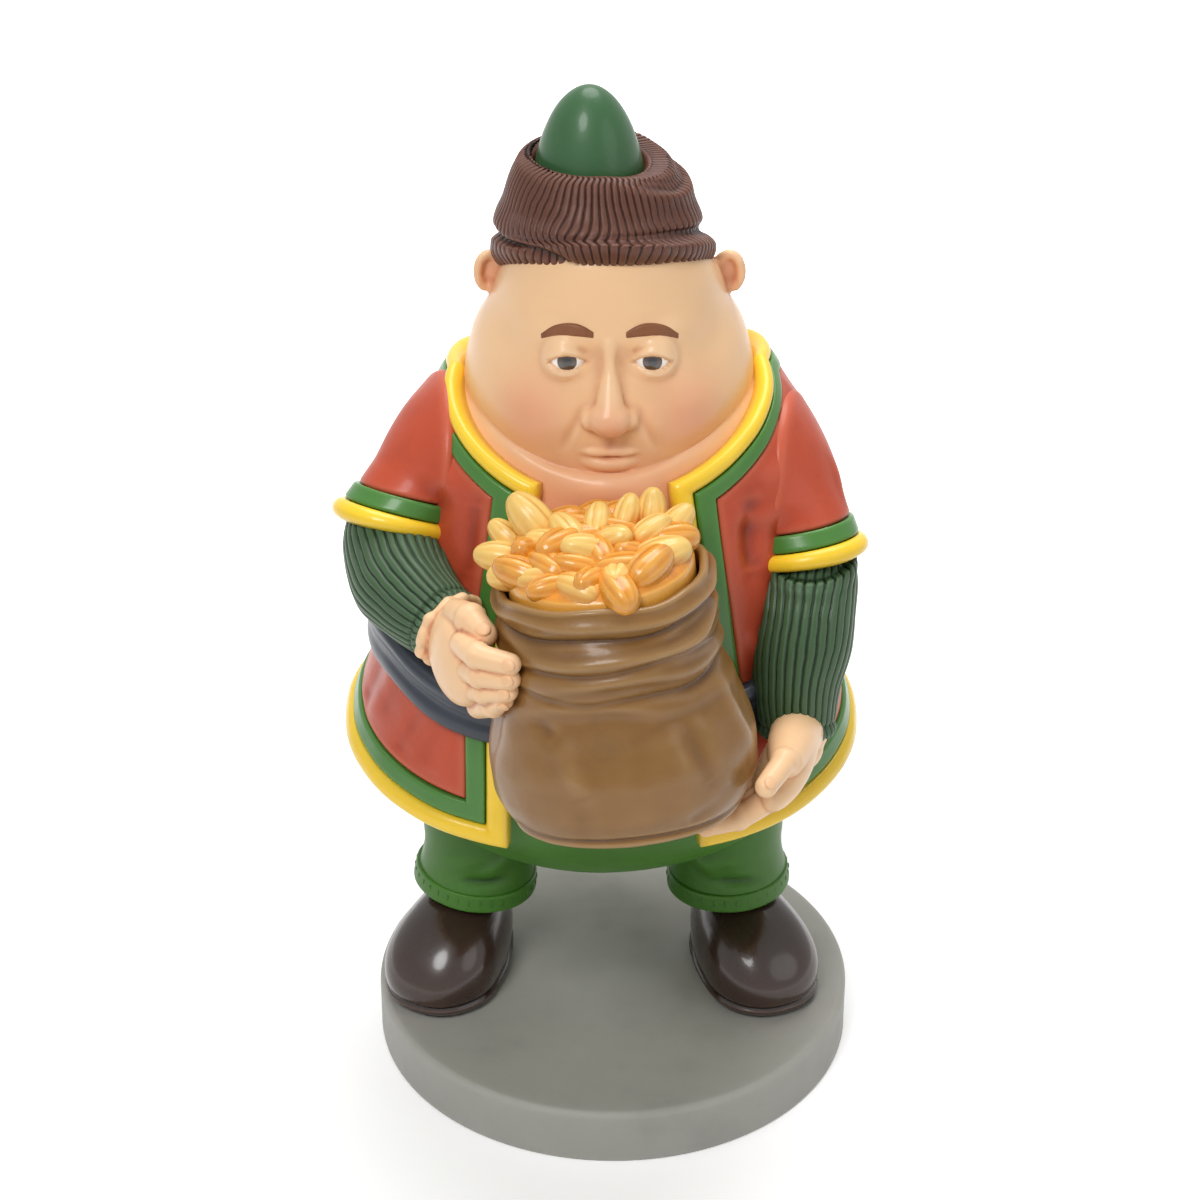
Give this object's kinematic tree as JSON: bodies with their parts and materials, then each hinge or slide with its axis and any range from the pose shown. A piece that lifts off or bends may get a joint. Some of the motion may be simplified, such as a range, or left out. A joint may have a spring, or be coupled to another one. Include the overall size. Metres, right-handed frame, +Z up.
{
  "type": "fat man figurine",
  "caption": "Painted cast-resin figurine of a stout man in a red coat and knit hat who hugs a sack of nuts, on a round plinth.",
  "frame": {"origin": "middle of the plinth's flat underside", "axes": "+Z up, from the plinth to the hat; the figure faces -Y, and its own right hand is at -X"},
  "size_m": [0.0966, 0.1063, 0.1867],
  "materials": {
    "plinth_grey": "matte paint on cast resin",
    "dowel_steel": "plain",
    "shoe_brown": "gloss paint on cast resin",
    "trouser_green": "satin paint on cast resin",
    "coat_red": "satin paint on cast resin",
    "trim_green": "satin paint on cast resin",
    "trim_yellow": "satin paint on cast resin",
    "knit_green": "satin paint with a dark wash",
    "sash_blue": "satin paint on cast resin",
    "skin": "satin paint, shaded by airbrush",
    "sack_brown": "satin paint with a dark wash",
    "filling_amber": "clear amber glaze",
    "nut_cream": "satin paint with an amber wash",
    "hat_brown": "satin paint with a dark wash",
    "dome_green": "satin paint on cast resin",
    "eye_white": "gloss paint",
    "eyebrow_brown": "satin paint"
  },
  "bodies": {
    "root": {"base_disc": "plinth_grey", "right_foot_dowel": "dowel_steel", "right_shoe": "shoe_brown", "right_trouser_leg": "trouser_green", "left_foot_dowel": "dowel_steel", "left_shoe": "shoe_brown", "left_trouser_leg": "trouser_green", "trousers_seat": "trouser_green", "knit_body": "knit_green", "coat_bodice": "coat_red", "collar_green_trim": "trim_green", "collar_yellow_trim": "trim_yellow", "coat_skirt": "coat_red", "hem_green_trim": "trim_green", "hem_yellow_trim": "trim_yellow", "sash": "sash_blue", "right_sleeve": "coat_red", "right_cuff_green_trim": "trim_green", "right_cuff_yellow_trim": "trim_yellow", "right_forearm": "knit_green", "right_hand": "skin", "left_sleeve": "coat_red", "left_cuff_green_trim": "trim_green", "left_cuff_yellow_trim": "trim_yellow", "left_forearm": "knit_green", "left_hand": "skin", "sack": "sack_brown", "sack_filling": "filling_amber", "nut_01": "nut_cream", "nut_02": "nut_cream", "nut_03": "nut_cream", "nut_04": "nut_cream", "nut_05": "nut_cream", "nut_06": "nut_cream", "nut_07": "nut_cream", "nut_08": "nut_cream", "nut_09": "nut_cream", "nut_10": "nut_cream", "nut_11": "nut_cream", "nut_12": "nut_cream", "nut_13": "nut_cream", "nut_14": "nut_cream", "nut_15": "nut_cream", "nut_16": "nut_cream", "nut_17": "nut_cream", "head": "skin", "neck_dowel": "dowel_steel", "right_eye": "eye_white", "right_eyebrow": "eyebrow_brown", "left_eye": "eye_white", "left_eyebrow": "eyebrow_brown", "hat_lower_roll": "hat_brown", "hat_main_roll": "hat_brown", "hat_top_roll": "hat_brown", "hat_dome": "dome_green"}
  },
  "joints": []
}
